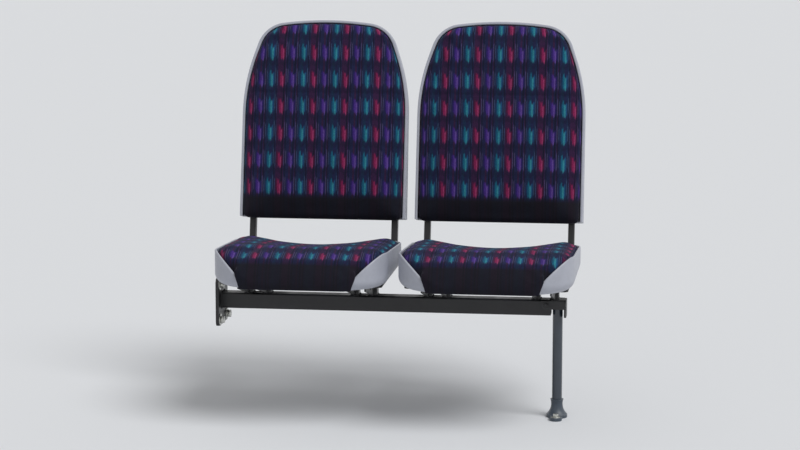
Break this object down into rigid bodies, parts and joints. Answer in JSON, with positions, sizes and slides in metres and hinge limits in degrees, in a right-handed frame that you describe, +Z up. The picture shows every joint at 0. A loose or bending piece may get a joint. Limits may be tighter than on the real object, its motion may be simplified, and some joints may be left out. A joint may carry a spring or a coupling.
{
  "type": "double passenger seat of a city bus",
  "caption": "Upholstered bus seat for two: padded backs and cushions in pale shells on a steel beam, with a wall plate and an aisle leg.",
  "frame": {"origin": "centre of the leg's foot on the floor, midway between its two bolts", "axes": "+X to the aisle, -Y the way the passengers face, +Z up"},
  "size_m": [0.905, 0.5796, 0.9663],
  "materials": {
    "moquette": "woven pile",
    "shell_grey": "satin moulding",
    "frame_black": "powder coat",
    "leg_grey": "satin paint",
    "foot_grey": "painted casting"
  },
  "bodies": {
    "root": {"back_shell_aisle": "shell_grey", "back_pad_aisle": "moquette", "seat_shell_aisle": "shell_grey", "seat_pad_aisle": "moquette", "seat_carrier_aisle_left": "frame_black", "back_upright_aisle_left": "frame_black", "seat_carrier_aisle_right": "frame_black", "back_upright_aisle_right": "frame_black", "back_shell_window": "shell_grey", "back_pad_window": "moquette", "seat_shell_window": "shell_grey", "seat_pad_window": "moquette", "seat_carrier_window_left": "frame_black", "back_upright_window_left": "frame_black", "seat_carrier_window_right": "frame_black", "back_upright_window_right": "frame_black", "cross_beam": "frame_black", "wall_plate": "frame_black", "leg_head": "frame_black", "leg_tube": "leg_grey", "leg_foot": "foot_grey"}
  },
  "joints": []
}
